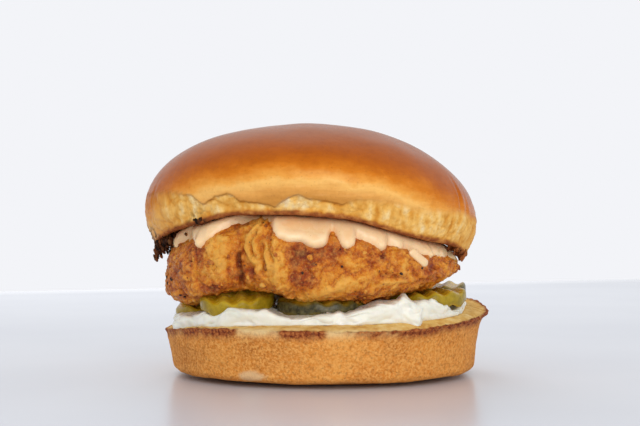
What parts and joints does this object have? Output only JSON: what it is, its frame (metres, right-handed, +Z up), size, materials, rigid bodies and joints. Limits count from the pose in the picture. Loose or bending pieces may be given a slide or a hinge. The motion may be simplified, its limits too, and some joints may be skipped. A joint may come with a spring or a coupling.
{
  "type": "crispy fried chicken sandwich on a brioche bun",
  "caption": "Burger-style sandwich: a craggy fried chicken fillet with creamy sauce, crinkle-cut pickles and mayonnaise between the halves of a round glossy brioche bun.",
  "frame": {"origin": "on the flat base of the bottom bun, under the middle of the sandwich", "axes": "+Z up through the layers, the side with the longest sauce drips faces -Y, +X to the right as seen from there"},
  "size_m": [0.1126, 0.1058, 0.0819],
  "materials": {
    "brioche_crust": "glossy egg-washed crust, brown on top, golden towards the edge, pale torn crumb along the cut",
    "toasted_heel": "matt golden-brown bread wall with a fine grain, a dark toasted rim and a golden cut face",
    "mayonnaise": "thick white mayonnaise with soft wet highlights",
    "pickle": "wet olive-green pickled cucumber with a darker rind and paler flesh",
    "fried_crust": "craggy deep-fried batter, golden with red-brown patches and an oily sheen",
    "creamy_sauce": "thick pale orange-pink sauce, smooth and glossy"
  },
  "bodies": {
    "root": {"bottom_bun": "toasted_heel", "mayonnaise": "mayonnaise", "pickle_far_left": "pickle", "pickle_left": "pickle", "pickle_middle": "pickle", "pickle_right": "pickle", "pickle_right_back": "pickle", "pickle_back": "pickle", "chicken_fillet": "fried_crust", "sauce": "creamy_sauce", "top_bun": "brioche_crust"}
  },
  "joints": []
}
